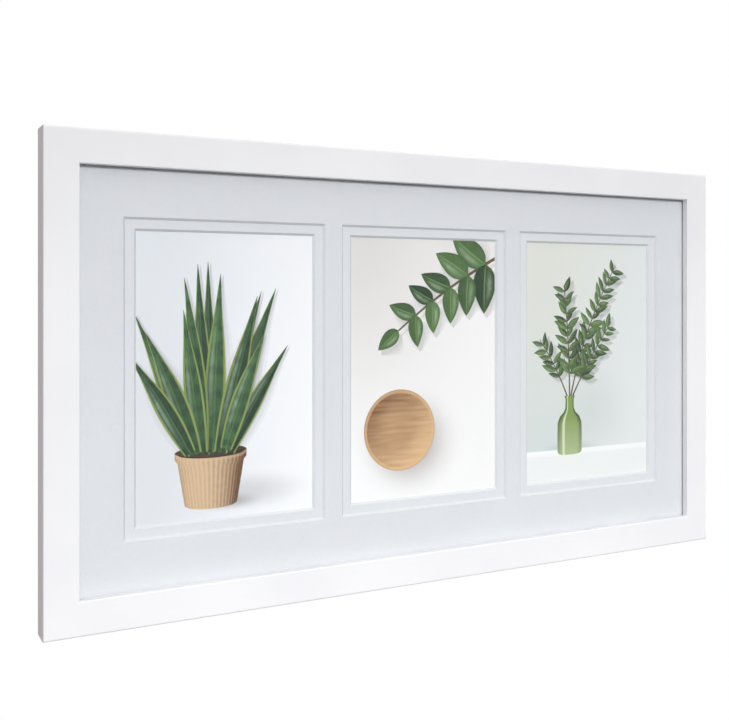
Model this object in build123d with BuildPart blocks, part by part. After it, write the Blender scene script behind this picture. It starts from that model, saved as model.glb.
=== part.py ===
from build123d import *
import os

# A wall-hung collage frame for three upright prints. Four mitred timber rails hold a stack of
# sheets in their rebate: glass, two mats with bevelled windows, the prints, a filler board and a
# backing board, which turn buttons keep in. It hangs by two D-rings.
# Millimetres. X runs to the viewer's right, Z up, and the front faces -Y. The origin is the middle
# of the outline on the wall plane, where the bumpers touch the wall.

# Prints
PRINT_NAMES = ("left", "centre", "right")
PRINT_WIDTH = 101.6
PRINT_HEIGHT = 152.4
PRINT_THICKNESS = 0.25
PRINT_OVERLAP = 2.8  # print hidden behind the inner mat along each edge

# Mats
MAT_THICKNESS = 1.2
BEVEL_ANGLE = 45
MAT_REVEAL = 5.6  # inner mat that shows inside each outer window
WINDOW_GAP = 12.4  # outer mat left between two neighbouring windows
SIDE_MARGIN = 23.2  # outer mat between the end windows and the side rails
TOP_MARGIN = 25.4  # outer mat above and below the windows

# Other sheets in the rebate
GLASS_THICKNESS = 2.0
FILLER_THICKNESS = 3.0
BACKING_THICKNESS = 3.0
BACKING_RECESS = 0.15  # the backing lies this far below the rails' back
SHEET_CLEARANCE = 0.5  # play between a sheet's edge and the rebate wall

# Tapes that hang each print from the inner mat
TAPE_THICKNESS = 0.1
TAPE_WIDTH = 19.0
TAPE_LENGTH = 24.0  # half on the print, half on the mat
TAPE_SPACING = 52.0

# Timber moulding
RAIL_FACE = 17.0
LIP_DEPTH = 4.0
REBATE_WIDTH = 5.5
OUTER_ARRIS = 0.9
SIGHT_ARRIS = 0.6
BACK_ARRIS = 0.6

# V-nails, two across each mitre
NAIL_LEG = 4.5
NAIL_THICKNESS = 0.6
NAIL_LENGTH = 7.0
NAIL_SETBACK = 3.6  # from the outer faces to the first nail
NAIL_SPACING = 3.8

# Pan-head screws
SCREW_LENGTH = 10.0
SCREW_RADIUS = 1.45
SCREW_POINT = 2.5
HEAD_RADIUS = 2.8
HEAD_CROWN_RADIUS = 1.8  # flat on top of the head
HEAD_HEIGHT = 1.6
PILOT_CLEARANCE = 0.05

# Turn buttons
BUTTON_WIDTH = 9.0
BUTTON_REACH = 14.0  # from the screw to the tip
BUTTON_THICKNESS = 1.0
BUTTON_TIP_LENGTH = 3.5  # the part of the tip that is turned up for a finger
BUTTON_TIP_LIFT = 0.8
BUTTON_SPACING = 210.0  # between the two buttons of a long rail
BUTTON_DROP = 20.0  # side buttons below the middle
RUNNING_CLEARANCE = 0.05

# D-ring hangers
HANGER_HEIGHT = 45.0  # ring axis above the middle of the frame
HANGER_EDGE = 0.3  # ring inside the frame's outline
STRAP_WIDTH = 7.0
STRAP_THICKNESS = 0.5
STRAP_NECK = 3.0  # from the ring axis to where the two layers lie flat
STRAP_SCREW_DROP = 6.5
STRAP_HOLE_CLEARANCE = 0.2
WIRE_RADIUS = 0.8
WIRE_SIDES = 12
RING_BEND = 1.4
RING_BOW = 4.0
RING_PLAY = 0.3  # straight bar past each side of the strap
RING_END_PLAY = 0.7  # ring past the end of the strap when it hangs down

# Wall bumpers
BUMPER_RADIUS = 4.0
BUMPER_HEIGHT = 3.0
BUMPER_ARRIS = 0.8
BUMPER_INSET = 24.0  # from the frame's side to the bumper's middle

# Window layout, from the prints outwards
window_width = PRINT_WIDTH - 2 * PRINT_OVERLAP
window_height = PRINT_HEIGHT - 2 * PRINT_OVERLAP
outer_window_width = window_width + 2 * MAT_REVEAL
outer_window_height = window_height + 2 * MAT_REVEAL
window_pitch = outer_window_width + WINDOW_GAP
print_count = len(PRINT_NAMES)
print_x = [window_pitch * (i - (print_count - 1) / 2) for i in range(print_count)]

# Outline of the sight opening, the frame and the sheets
sight_width = window_pitch * (print_count - 1) + outer_window_width + 2 * SIDE_MARGIN
sight_height = outer_window_height + 2 * TOP_MARGIN
frame_width = sight_width + 2 * RAIL_FACE
frame_height = sight_height + 2 * RAIL_FACE
sheet_width = sight_width + 2 * (REBATE_WIDTH - SHEET_CLEARANCE)
sheet_height = sight_height + 2 * (REBATE_WIDTH - SHEET_CLEARANCE)

# Depth: the rebate is as deep as the stack that it holds
stack_depth = GLASS_THICKNESS + 2 * MAT_THICKNESS + PRINT_THICKNESS + TAPE_THICKNESS
stack_depth += FILLER_THICKNESS + BACKING_THICKNESS
rebate_depth = stack_depth + BACKING_RECESS
rail_depth = LIP_DEPTH + rebate_depth
rail_land = RAIL_FACE - REBATE_WIDTH

# Y of the back of each layer, from the rails' back to the front
rail_back = -BUMPER_HEIGHT
backing_back = rail_back - BACKING_RECESS
filler_back = backing_back - BACKING_THICKNESS
tape_back = filler_back - FILLER_THICKNESS
print_back = tape_back - TAPE_THICKNESS
inner_mat_back = print_back - PRINT_THICKNESS
outer_mat_back = inner_mat_back - MAT_THICKNESS
glass_back = outer_mat_back - MAT_THICKNESS

# Hanger sizes that follow the strap and the wire
loop_bore = WIRE_RADIUS + RUNNING_CLEARANCE
loop_radius = loop_bore + STRAP_THICKNESS
strap_end = STRAP_SCREW_DROP + STRAP_WIDTH / 2
ring_half = STRAP_WIDTH / 2 + RING_PLAY + RING_BEND
ring_height = strap_end + RING_END_PLAY + WIRE_RADIUS
hanger_x = frame_width / 2 - HANGER_EDGE - WIRE_RADIUS - ring_half

# Places on the rails' back, as X and Z
rail_middle = rail_land / 2
side_x = frame_width / 2 - rail_middle
end_z = frame_height / 2 - rail_middle
button_x = BUTTON_SPACING / 2
BUTTONS = {
    "turn_button_top_left": ((-button_x, end_z), (0, 0, -1)),
    "turn_button_top_right": ((button_x, end_z), (0, 0, -1)),
    "turn_button_bottom_left": ((-button_x, -end_z), (0, 0, 1)),
    "turn_button_bottom_right": ((button_x, -end_z), (0, 0, 1)),
    "turn_button_left": ((-side_x, -BUTTON_DROP), (1, 0, 0)),
    "turn_button_right": ((side_x, -BUTTON_DROP), (-1, 0, 0)),
}
HANGERS = {"left": -hanger_x, "right": hanger_x}
button_pins = [place for place, inward in BUTTONS.values()]
hanger_pins = [(x, HANGER_HEIGHT - STRAP_SCREW_DROP) for x in HANGERS.values()]
bumper_x = frame_width / 2 - BUMPER_INSET
bumper_places = [(-bumper_x, -end_z), (bumper_x, -end_z)]
CORNERS = [(-1, -1), (1, -1), (1, 1), (-1, 1)]


def facing_front(y):
    """Plane at depth y whose normal points to the front, with local axes along X and Z."""
    return Plane(origin=(0, y, 0), x_dir=(1, 0, 0), z_dir=(0, -1, 0))


def facing_wall(x, y, z, x_dir=(1, 0, 0)):
    """Plane at a point whose normal points to the wall."""
    return Plane(origin=(x, y, z), x_dir=x_dir, z_dir=(0, 1, 0))


def save(part, name):
    """Label a finished piece and write it to its own file."""
    part.label = name
    export_step(part, f"parts/{name}.step")


def make_rail(start, run, inward, length):
    """One moulding length from outer corner to outer corner, mitred at both ends."""
    corner = Vector(start)
    along = Vector(run)
    across = Vector(inward)
    with BuildPart() as rail:
        with BuildSketch(Plane(origin=corner, x_dir=across, z_dir=along)) as section:
            with BuildLine():
                Polyline(
                    (0, 0),
                    (rail_land, 0),
                    (rail_land, rebate_depth),
                    (RAIL_FACE, rebate_depth),
                    (RAIL_FACE, rail_depth),
                    (0, rail_depth),
                    close=True,
                )
            make_face()
            back_corner = section.vertices().group_by(Axis.Y)[0].sort_by(Axis.X)[0]
            fillet(back_corner, radius=BACK_ARRIS)
            sight_corner = section.vertices().group_by(Axis.Y)[-1].sort_by(Axis.X)[-1]
            fillet(sight_corner, radius=SIGHT_ARRIS)
            outer_corner = section.vertices().group_by(Axis.Y)[-1].sort_by(Axis.X)[0]
            fillet(outer_corner, radius=OUTER_ARRIS)
        extrude(amount=length)
        split(bisect_by=Plane(origin=corner, z_dir=along - across), keep=Keep.TOP)
        far_corner = corner + along * length
        split(bisect_by=Plane(origin=far_corner, z_dir=-along - across), keep=Keep.TOP)
        add(corner_v_nails.part, mode=Mode.SUBTRACT)
        with Locations(*[facing_wall(x, rail_back, z) for x, z in button_pins + hanger_pins]):
            Hole(radius=SCREW_RADIUS + PILOT_CLEARANCE, depth=SCREW_LENGTH)
    return rail


def make_mat(back, width, height):
    """Mat board with one bevelled window in front of each print."""
    with BuildPart() as mat:
        with BuildSketch(facing_front(back)):
            Rectangle(sheet_width, sheet_height)
        extrude(amount=MAT_THICKNESS)
        with BuildSketch(facing_front(back)):
            with Locations(*[(x, 0) for x in print_x]):
                Rectangle(width, height)
        extrude(amount=MAT_THICKNESS, taper=-BEVEL_ANGLE, mode=Mode.SUBTRACT)
    return mat


def make_sheet(back, thickness):
    """Plain sheet that fills the rebate."""
    with BuildPart() as sheet:
        with BuildSketch(facing_front(back)):
            Rectangle(sheet_width, sheet_height)
        extrude(amount=thickness)
    return sheet


def make_print(x):
    """One print, centred behind its window."""
    with BuildPart() as print_sheet:
        with BuildSketch(facing_front(print_back)):
            with Locations((x, 0)):
                Rectangle(PRINT_WIDTH, PRINT_HEIGHT)
        extrude(amount=PRINT_THICKNESS)
    return print_sheet


def make_button(place, inward):
    """Flat steel turn button with a turned-up tip, lying on the rails' back."""
    x, z = place
    arm = Vector(inward)
    side = Plane(origin=(x, rail_back, z), x_dir=arm, z_dir=arm.cross(Vector(0, 1, 0)))
    bend = BUTTON_REACH - BUTTON_TIP_LENGTH
    heel = BUTTON_WIDTH / 2
    with BuildPart() as button:
        with BuildSketch(side):
            with BuildLine():
                Polyline(
                    (-heel, 0),
                    (bend, 0),
                    (BUTTON_REACH, BUTTON_TIP_LIFT),
                    (BUTTON_REACH, BUTTON_TIP_LIFT + BUTTON_THICKNESS),
                    (bend, BUTTON_THICKNESS),
                    (-heel, BUTTON_THICKNESS),
                    close=True,
                )
            make_face()
        extrude(amount=BUTTON_WIDTH / 2, both=True)
        with BuildSketch(facing_wall(x, rail_back, z, arm)):
            slot_length = BUTTON_REACH - heel
            with Locations((slot_length / 2, 0)):
                SlotCenterToCenter(slot_length, BUTTON_WIDTH)
            Circle(SCREW_RADIUS + RUNNING_CLEARANCE, mode=Mode.SUBTRACT)
        extrude(amount=BUTTON_THICKNESS + BUTTON_TIP_LIFT, mode=Mode.INTERSECT)
    return button


def make_strap(x):
    """Steel strap folded round the ring's bar, with both layers under one screw."""
    base = (x, rail_back, HANGER_HEIGHT)
    with BuildPart() as strap:
        with BuildSketch(Plane(origin=base, x_dir=(0, 0, -1), z_dir=(1, 0, 0))):
            with Locations((0, loop_radius)):
                Circle(loop_radius)
            with BuildLine():
                Polyline(
                    (0, 0),
                    (strap_end, 0),
                    (strap_end, 2 * STRAP_THICKNESS),
                    (STRAP_NECK, 2 * STRAP_THICKNESS),
                    (0, 2 * loop_radius),
                    close=True,
                )
            make_face()
            with Locations((0, loop_radius)):
                Circle(loop_bore, mode=Mode.SUBTRACT)
        extrude(amount=STRAP_WIDTH / 2, both=True)
        with BuildSketch(facing_wall(*base, x_dir=(0, 0, -1))):
            with Locations((-loop_radius, 0)):
                Rectangle(loop_radius + STRAP_SCREW_DROP, STRAP_WIDTH, align=(Align.MIN, Align.CENTER))
            with Locations((STRAP_SCREW_DROP, 0)):
                Circle(STRAP_WIDTH / 2)
                Circle(SCREW_RADIUS + STRAP_HOLE_CLEARANCE, mode=Mode.SUBTRACT)
        extrude(amount=2 * loop_radius, mode=Mode.INTERSECT)
    return strap


def make_ring(x):
    """Wire D-ring whose straight bar turns in the strap's loop; it stands upright."""
    middle = Plane(origin=(x, rail_back + loop_radius, HANGER_HEIGHT), x_dir=(1, 0, 0), z_dir=(0, -1, 0))
    with BuildPart() as ring:
        with BuildLine(middle) as path:
            FilletPolyline(
                (-ring_half, 0),
                (ring_half, 0),
                (ring_half, ring_height),
                (-ring_half, ring_height),
                radius=(RING_BEND, RING_BEND, RING_BOW, RING_BOW),
                close=True,
            )
        with BuildSketch(Plane(origin=path.line @ 0, z_dir=path.line % 0)):
            RegularPolygon(WIRE_RADIUS, WIRE_SIDES)
        sweep(path=path.line)
    return ring


os.makedirs("parts", exist_ok=True)

# V-nails: L-shaped steel strips, point to the outer corner, flush with the rails' back
with BuildPart() as corner_v_nails:
    with BuildSketch(facing_front(rail_back)):
        for side_sign, end_sign in CORNERS:
            for setback in (NAIL_SETBACK, NAIL_SETBACK + NAIL_SPACING):
                point_x = side_sign * (frame_width / 2 - setback)
                point_z = end_sign * (frame_height / 2 - setback)
                with BuildLine():
                    Polyline(
                        (point_x, point_z),
                        (point_x - side_sign * NAIL_LEG, point_z),
                        (point_x - side_sign * NAIL_LEG, point_z - end_sign * NAIL_THICKNESS),
                        (point_x - side_sign * NAIL_THICKNESS, point_z - end_sign * NAIL_THICKNESS),
                        (point_x - side_sign * NAIL_THICKNESS, point_z - end_sign * NAIL_LEG),
                        (point_x, point_z - end_sign * NAIL_LEG),
                        close=True,
                    )
                make_face()
    extrude(amount=NAIL_LENGTH)
save(corner_v_nails.part, "corner_v_nails")

# Timber rails, each run anticlockwise as seen from the front
half_width = frame_width / 2
half_height = frame_height / 2
RAILS = {
    "rail_bottom": ((-half_width, rail_back, -half_height), (1, 0, 0), (0, 0, 1), frame_width),
    "rail_right": ((half_width, rail_back, -half_height), (0, 0, 1), (-1, 0, 0), frame_height),
    "rail_top": ((half_width, rail_back, half_height), (-1, 0, 0), (0, 0, -1), frame_width),
    "rail_left": ((-half_width, rail_back, half_height), (0, 0, -1), (1, 0, 0), frame_height),
}
for rail_name, rail_values in RAILS.items():
    save(make_rail(*rail_values).part, rail_name)

# Sheets in the rebate, from the front
save(make_sheet(glass_back, GLASS_THICKNESS).part, "glazing_sheet")
save(make_mat(outer_mat_back, outer_window_width, outer_window_height).part, "outer_mat")
save(make_mat(inner_mat_back, window_width, window_height).part, "inner_mat")
for print_name, middle_x in zip(PRINT_NAMES, print_x):
    save(make_print(middle_x).part, f"photo_{print_name}")
save(make_sheet(filler_back, FILLER_THICKNESS).part, "filler_board")
save(make_sheet(backing_back, BACKING_THICKNESS).part, "backing_board")

# Tapes: each lies on the print's back and steps down over its top edge onto the mat
with BuildPart() as photo_tapes:
    print_top = PRINT_HEIGHT / 2
    tape_half = TAPE_LENGTH / 2
    for middle_x in print_x:
        for tape_x in (middle_x - TAPE_SPACING / 2, middle_x + TAPE_SPACING / 2):
            with BuildSketch(Plane.YZ.offset(tape_x)):
                with BuildLine():
                    Polyline(
                        (print_back, print_top - tape_half),
                        (print_back, print_top),
                        (inner_mat_back, print_top),
                        (inner_mat_back, print_top + tape_half),
                        (inner_mat_back + TAPE_THICKNESS, print_top + tape_half),
                        (inner_mat_back + TAPE_THICKNESS, print_top + TAPE_THICKNESS),
                        (tape_back, print_top + TAPE_THICKNESS),
                        (tape_back, print_top - tape_half),
                        close=True,
                    )
                make_face()
            extrude(amount=TAPE_WIDTH / 2, both=True)
save(photo_tapes.part, "photo_tapes")

# Turn buttons
for button_name, button_values in BUTTONS.items():
    save(make_button(*button_values).part, button_name)

# Pan-head screw along Y, with the underside of its head at the origin
with BuildPart() as screw:
    with BuildSketch(Plane.XY):
        with BuildLine():
            Polyline(
                (0, HEAD_HEIGHT),
                (HEAD_CROWN_RADIUS, HEAD_HEIGHT),
                (HEAD_RADIUS, 0),
                (SCREW_RADIUS, 0),
                (SCREW_RADIUS, SCREW_POINT - SCREW_LENGTH),
                (0, -SCREW_LENGTH),
                close=True,
            )
        make_face()
    revolve(axis=Axis.Y)

with BuildPart() as turn_button_screws:
    button_seat = rail_back + BUTTON_THICKNESS + RUNNING_CLEARANCE
    with Locations(*[(x, button_seat, z) for x, z in button_pins]):
        add(screw.part)
save(turn_button_screws.part, "turn_button_screws")

# D-ring hangers
for hanger_side, middle_x in HANGERS.items():
    save(make_strap(middle_x).part, f"hanger_strap_{hanger_side}")
    save(make_ring(middle_x).part, f"hanger_ring_{hanger_side}")
with BuildPart() as hanger_screws:
    hanger_seat = rail_back + 2 * STRAP_THICKNESS
    with Locations(*[(x, hanger_seat, z) for x, z in hanger_pins]):
        add(screw.part)
save(hanger_screws.part, "hanger_screws")

# Wall bumpers on the bottom rail
with BuildPart() as wall_bumpers:
    for x, z in bumper_places:
        with BuildSketch(facing_wall(x, rail_back, z)):
            Circle(BUMPER_RADIUS)
        extrude(amount=BUMPER_HEIGHT)
    chamfer(wall_bumpers.edges().group_by(Axis.Y)[-1], length=BUMPER_ARRIS)
save(wall_bumpers.part, "wall_bumpers")
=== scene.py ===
# %% [markdown]
# # A collage photo frame
# This lesson dresses a collage frame: a white timber frame that shows three prints behind a double mat.
# The pieces come from a CAD model, already at their real size and place, so nothing is moved here.
# Each piece gets the finish of the real one, and a few plain solids are swapped for finer meshes.

# %% Load the frame
import math
import random
from collections import namedtuple

import bmesh
import bpy
import numpy as np
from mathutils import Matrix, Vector
from mathutils.geometry import delaunay_2d_cdt


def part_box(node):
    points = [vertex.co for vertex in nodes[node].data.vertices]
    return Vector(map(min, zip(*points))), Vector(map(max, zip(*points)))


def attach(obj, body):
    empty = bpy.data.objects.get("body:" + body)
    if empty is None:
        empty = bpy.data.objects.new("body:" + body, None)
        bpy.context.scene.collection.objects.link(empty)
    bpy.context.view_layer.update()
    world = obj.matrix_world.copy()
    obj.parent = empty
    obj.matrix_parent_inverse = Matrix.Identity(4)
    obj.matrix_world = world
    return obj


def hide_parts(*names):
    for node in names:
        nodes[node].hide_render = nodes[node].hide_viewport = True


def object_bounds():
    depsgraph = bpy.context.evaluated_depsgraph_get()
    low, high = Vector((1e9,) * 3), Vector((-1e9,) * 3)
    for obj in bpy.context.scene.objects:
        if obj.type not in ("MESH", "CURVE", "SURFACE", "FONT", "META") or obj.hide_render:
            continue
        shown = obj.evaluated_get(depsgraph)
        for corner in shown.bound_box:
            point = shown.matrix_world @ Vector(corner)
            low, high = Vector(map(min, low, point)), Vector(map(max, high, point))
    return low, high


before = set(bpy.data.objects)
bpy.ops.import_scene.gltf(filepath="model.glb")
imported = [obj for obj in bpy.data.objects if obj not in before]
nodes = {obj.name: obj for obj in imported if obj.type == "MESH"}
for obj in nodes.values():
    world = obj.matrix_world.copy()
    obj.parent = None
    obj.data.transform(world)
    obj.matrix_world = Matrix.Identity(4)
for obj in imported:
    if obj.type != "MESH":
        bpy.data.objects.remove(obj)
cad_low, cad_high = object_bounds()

MM = 0.001
scene = bpy.context.scene
scene.view_settings.view_transform = "Standard"
print("outline in mm:", [round(side / MM, 1) for side in cad_high - cad_low])

# %% [markdown]
# ## The camera
# The photograph was taken level, from the left of the frame and a little above its middle. All uprights
# stay parallel in it, so the camera isn't tilted: its lens is shifted instead, as on a view camera.
# The place and the focal length come from fitting the corners of the frame and of its windows.

# %% Place the camera
IMAGE_WIDTH = 729
IMAGE_HEIGHT = 720
FOCAL_PIXELS = 985.6
HORIZON_PIXEL = 294.75
CAMERA_YAW = math.radians(27.5)
CAMERA_FROM_FACE = Vector((-292.9, -478.5, 41.7)) * MM

face_middle = Vector((0, cad_low.y, 0))
camera_data = bpy.data.cameras.new("camera")
camera_data.lens = FOCAL_PIXELS / IMAGE_WIDTH * camera_data.sensor_width
camera_data.shift_y = (HORIZON_PIXEL - IMAGE_HEIGHT / 2) / IMAGE_WIDTH
camera = bpy.data.objects.new("camera", camera_data)
camera.location = face_middle + CAMERA_FROM_FACE
camera.rotation_euler = (math.pi / 2, 0, -CAMERA_YAW)
scene.collection.objects.link(camera)
scene.camera = camera
print(f"lens {camera_data.lens:.1f} mm, {CAMERA_FROM_FACE.length:.2f} m from the face")

# %% [markdown]
# ## Helpers for shader nodes
# A material is a graph, and written out node by node it fills pages. These few helpers add a node, fill
# its inputs with plain values or with links, and hand back an output, so that a finish reads as a recipe.

# %% Node helpers
def srgb(red, green, blue):
    """A colour given from 0 to 255, as the linear RGBA that sockets take."""
    shares = [channel / 255 for channel in (red, green, blue)]
    return [share / 12.92 if share < 0.04 else ((share + 0.055) / 1.055) ** 2.4 for share in shares] + [1]


def plug(tree, socket, value):
    """Links an output to a socket, or sets the socket's own value."""
    if isinstance(value, bpy.types.NodeSocket):
        tree.links.new(value, socket)
    else:
        socket.default_value = value


def node(tree, kind, inputs=(), **settings):
    """Adds a node with its settings and fills its inputs, which go by name or number."""
    made = tree.nodes.new(kind)
    for name, value in settings.items():
        setattr(made, name, value)
    for name, value in dict(inputs).items():
        plug(tree, made.inputs[name], value)
    return made


def calc(tree, operation, *values):
    """The result of one Math node."""
    made = node(tree, "ShaderNodeMath", operation=operation)
    for socket, value in zip(made.inputs, values):
        plug(tree, socket, value)
    return made.outputs[0]


# %% [markdown]
# Most of a recipe is masks, values and colours that blend from one to another. A Mix node holds one set of
# sockets for each kind of value, all with the same names, so there the sockets go by number.

# %% Helpers for masks, colours and noise
def ease(tree, value, low, high):
    """Rises smoothly from 0 to 1 while the value goes from low to high."""
    inputs = {"Value": value, "From Min": low, "From Max": high}
    return node(tree, "ShaderNodeMapRange", inputs, interpolation_type="SMOOTHSTEP").outputs["Result"]


def spread(tree, value, low, high):
    """Maps a value from 0..1 to low..high."""
    inputs = {"Value": value, "To Min": low, "To Max": high}
    return node(tree, "ShaderNodeMapRange", inputs).outputs["Result"]


def between(tree, share, first, second):
    """A value that goes from first to second as share goes from 0 to 1."""
    made = node(tree, "ShaderNodeMix", data_type="FLOAT")
    for socket, value in zip((made.inputs[0], made.inputs[2], made.inputs[3]), (share, first, second)):
        plug(tree, socket, value)
    return made.outputs[0]


def mixed(tree, share, first, second, mode="MIX"):
    """A colour that goes from first to second as share goes from 0 to 1."""
    made = node(tree, "ShaderNodeMix", data_type="RGBA", blend_type=mode)
    for socket, value in zip((made.inputs[0], made.inputs[6], made.inputs[7]), (share, first, second)):
        plug(tree, socket, value)
    return made.outputs[2]


def tinted(tree, colour, tint, mask, amount):
    """Lays a tint over a colour: not at all where the mask is 0, and by amount where it is 1."""
    return mixed(tree, calc(tree, "MULTIPLY", mask, amount), colour, tint)


def cloudy(tree, place, scale, detail=2.0, stretch=(1, 1, 1)):
    """Noise from 0 to 1, finer along the axes with a larger stretch."""
    mapped = node(tree, "ShaderNodeMapping", {"Vector": place, "Scale": stretch}).outputs[0]
    return node(tree, "ShaderNodeTexNoise", {"Vector": mapped, "Scale": scale, "Detail": detail}).outputs[0]


def object_place(tree):
    """Where a point is on its own object, in metres."""
    return node(tree, "ShaderNodeTexCoord").outputs["Object"]


# %% [markdown]
# Every finish starts from the Principled shader. What is the same all over a piece goes straight into its
# sockets as a plain value, and only what changes over the surface gets nodes.

# %% Material helpers
def new_material(name, **plain):
    """A material with a Principled shader, whose plain values are set by socket name."""
    material = bpy.data.materials.new(name)
    material.use_nodes = True
    shader = material.node_tree.nodes["Principled BSDF"]
    for label, value in plain.items():
        shader.inputs[label.replace("_", " ")].default_value = value
    return material, material.node_tree, shader


def raised(tree, shader, height, depth):
    """Gives the surface a relief of that depth in metres."""
    bump = node(tree, "ShaderNodeBump", {"Height": height, "Distance": depth})
    plug(tree, shader.inputs["Normal"], bump.outputs[0])


def dress(material, *names):
    """Puts a material on CAD nodes that keep their own shape."""
    for name in names:
        nodes[name].data.materials.clear()
        nodes[name].data.materials.append(material)
    print(material.name, "on", ", ".join(names))


# %% [markdown]
# ## White world
# The frame was photographed against pure white. A lit backdrop could give that, but it would light the frame
# as well. So the world is white only to the camera, and to reflections and glass. To everything else it is a
# soft dome, brighter above than below.

# %% White world
SKY_LIGHT = 0.95
GROUND_LIGHT = 0.14
DOME_FOOT = -0.3  # the Z of the directions in which the dome starts to brighten


def seen_directly(tree):
    """1 for rays that show the backdrop itself: straight to the camera, in a reflection or through glass."""
    path = node(tree, "ShaderNodeLightPath").outputs
    seen = calc(tree, "MAXIMUM", path["Is Camera Ray"], path["Is Glossy Ray"])
    return calc(tree, "MAXIMUM", seen, path["Is Transmission Ray"])


world = bpy.data.worlds.new("white_studio")
world.use_nodes = True
sky_tree = world.node_tree
sky = sky_tree.nodes["Background"]
sky.inputs["Color"].default_value = srgb(255, 255, 255)
outward = node(sky_tree, "ShaderNodeTexCoord").outputs["Generated"]
upward = node(sky_tree, "ShaderNodeSeparateXYZ", {0: outward}).outputs["Z"]
dome = between(sky_tree, ease(sky_tree, upward, DOME_FOOT, 1.0), GROUND_LIGHT, SKY_LIGHT)
plug(sky_tree, sky.inputs["Strength"], between(sky_tree, seen_directly(sky_tree), dome, 1.0))
scene.world = world
print(f"dome: strength {GROUND_LIGHT} below to {SKY_LIGHT} above")

# %% [markdown]
# ## Floor
# The frame hangs on a wall when in use, so the floor lies well below it. It keeps the frame's soft shadow. A
# glow that only shows to the camera, in reflections and through glass makes it nearly white, and towards its
# rim it turns clear, so that it fades into the world.

# %% Floor
FLOOR_DROP = 1.3
FLOOR_RADIUS = 1.7
FLOOR_SIDES = 96
FLOOR_GLOW = 0.75
FADE_START = 0.4 * FLOOR_RADIUS


def floor_paint():
    material = bpy.data.materials.new("floor_paint")
    material.use_nodes = True
    tree = material.node_tree
    tree.nodes.remove(tree.nodes["Principled BSDF"])
    matt = node(tree, "ShaderNodeBsdfDiffuse", {"Color": srgb(150, 150, 150)})
    glow_strength = calc(tree, "MULTIPLY", seen_directly(tree), FLOOR_GLOW)
    glow = node(tree, "ShaderNodeEmission", {"Strength": glow_strength})
    both = node(tree, "ShaderNodeAddShader", {0: matt.outputs[0], 1: glow.outputs[0]})
    from_middle = node(tree, "ShaderNodeVectorMath", {0: object_place(tree)}, operation="LENGTH")
    fading = ease(tree, from_middle.outputs["Value"], FADE_START, FLOOR_RADIUS)
    clear = node(tree, "ShaderNodeBsdfTransparent")
    faded = node(tree, "ShaderNodeMixShader", {0: fading, 1: both.outputs[0], 2: clear.outputs[0]})
    plug(tree, tree.nodes["Material Output"].inputs["Surface"], faded.outputs[0])
    return material


floor_mesh = bpy.data.meshes.new("floor")
floor_bm = bmesh.new()
bmesh.ops.create_circle(floor_bm, cap_ends=True, segments=FLOOR_SIDES, radius=FLOOR_RADIUS)
floor_bm.to_mesh(floor_mesh)
floor_bm.free()
floor_mesh.materials.append(floor_paint())
floor = bpy.data.objects.new("floor", floor_mesh)
floor.location.z = cad_low.z - FLOOR_DROP
scene.collection.objects.link(floor)
print(f"floor {FLOOR_DROP} m below the frame")

# %% [markdown]
# ## Lamps
# The shading of the photograph says where the light was. The top lip throws a thin dark line and the left
# side is grey, so the lamp stood in front, above and a little to the left. The bottom is brighter than the
# top, though it's further from that lamp. Photographers get this by feathering: the lamp is aimed past the
# object, so that the soft edge of its cone falls across it. They also keep the lamp's own image out of the
# glass, which is one switch here: the key lamp isn't seen by reflections.

# %% Set the key lamp
KEY_PLACE = Vector((-0.46, -2.60, 0.62))
KEY_AIM = Vector((0.12, 0, -0.78))
KEY_WATTS = 250
KEY_CONE = math.radians(58)
KEY_WIDTH = 0.6


def hang_lamp(lamp_data, place, aim):
    """Puts a lamp in its place and points it at its aim."""
    lamp = bpy.data.objects.new(lamp_data.name, lamp_data)
    lamp.location = place
    lamp.rotation_euler = (aim - place).to_track_quat("-Z", "Y").to_euler()
    scene.collection.objects.link(lamp)
    print(f"{lamp.name}: {lamp_data.energy:.0f} W, {(place - face_middle).length:.2f} m from the frame")
    return lamp


key_data = bpy.data.lights.new("key_lamp", "SPOT")
key_data.energy = KEY_WATTS
key_data.spot_size = KEY_CONE
key_data.spot_blend = 1.0
key_data.shadow_soft_size = KEY_WIDTH / 2
key_data.color = srgb(254, 254, 255)[:3]
key_lamp = hang_lamp(key_data, KEY_PLACE, KEY_AIM)
key_lamp.visible_glossy = False

# %% [markdown]
# The photograph says nothing about the back. A second, plainer lamp stands behind the frame, to the right,
# and lights its hardware when the frame is turned round. It can't reach anything that shows from the left
# front.

# %% Set the back lamp
BACK_PLACE = Vector((1.40, 2.00, 1.00))
BACK_AIM = Vector((0, 0, 0))
BACK_WATTS = 48
BACK_WIDTH = 0.7

back_data = bpy.data.lights.new("back_lamp", "AREA")
back_data.energy = BACK_WATTS
back_data.size = BACK_WIDTH
back_data.color = srgb(255, 254, 251)[:3]
hang_lamp(back_data, BACK_PLACE, BACK_AIM)

# %% [markdown]
# ## Effects that several finishes share
# Paper, board and card all show short fibres that lie every way, and every handled piece of metal picks up
# fine scratches and dull spots. Both are the same trick: noise drawn out into strands, laid down at a few
# angles, of which the strongest one shows. Each effect is a node group, built once.

# %% Group helpers
def new_group(name, inputs, outputs):
    """A shader node group and its two ends. Inputs are (name, default), where None makes a vector."""
    tree = bpy.data.node_groups.new(name, "ShaderNodeTree")
    for label, value in inputs:
        kind = "NodeSocketVector" if value is None else "NodeSocketFloat"
        socket = tree.interface.new_socket(name=label, in_out="INPUT", socket_type=kind)
        if value is not None:
            socket.default_value = value
    for label in outputs:
        tree.interface.new_socket(name=label, in_out="OUTPUT", socket_type="NodeSocketFloat")
    return tree, tree.nodes.new("NodeGroupInput").outputs, tree.nodes.new("NodeGroupOutput").inputs


def scaled_place(tree, place, scale):
    scaling = {0: place, "Scale": scale}
    return node(tree, "ShaderNodeVectorMath", scaling, operation="SCALE").outputs[0]


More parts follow.
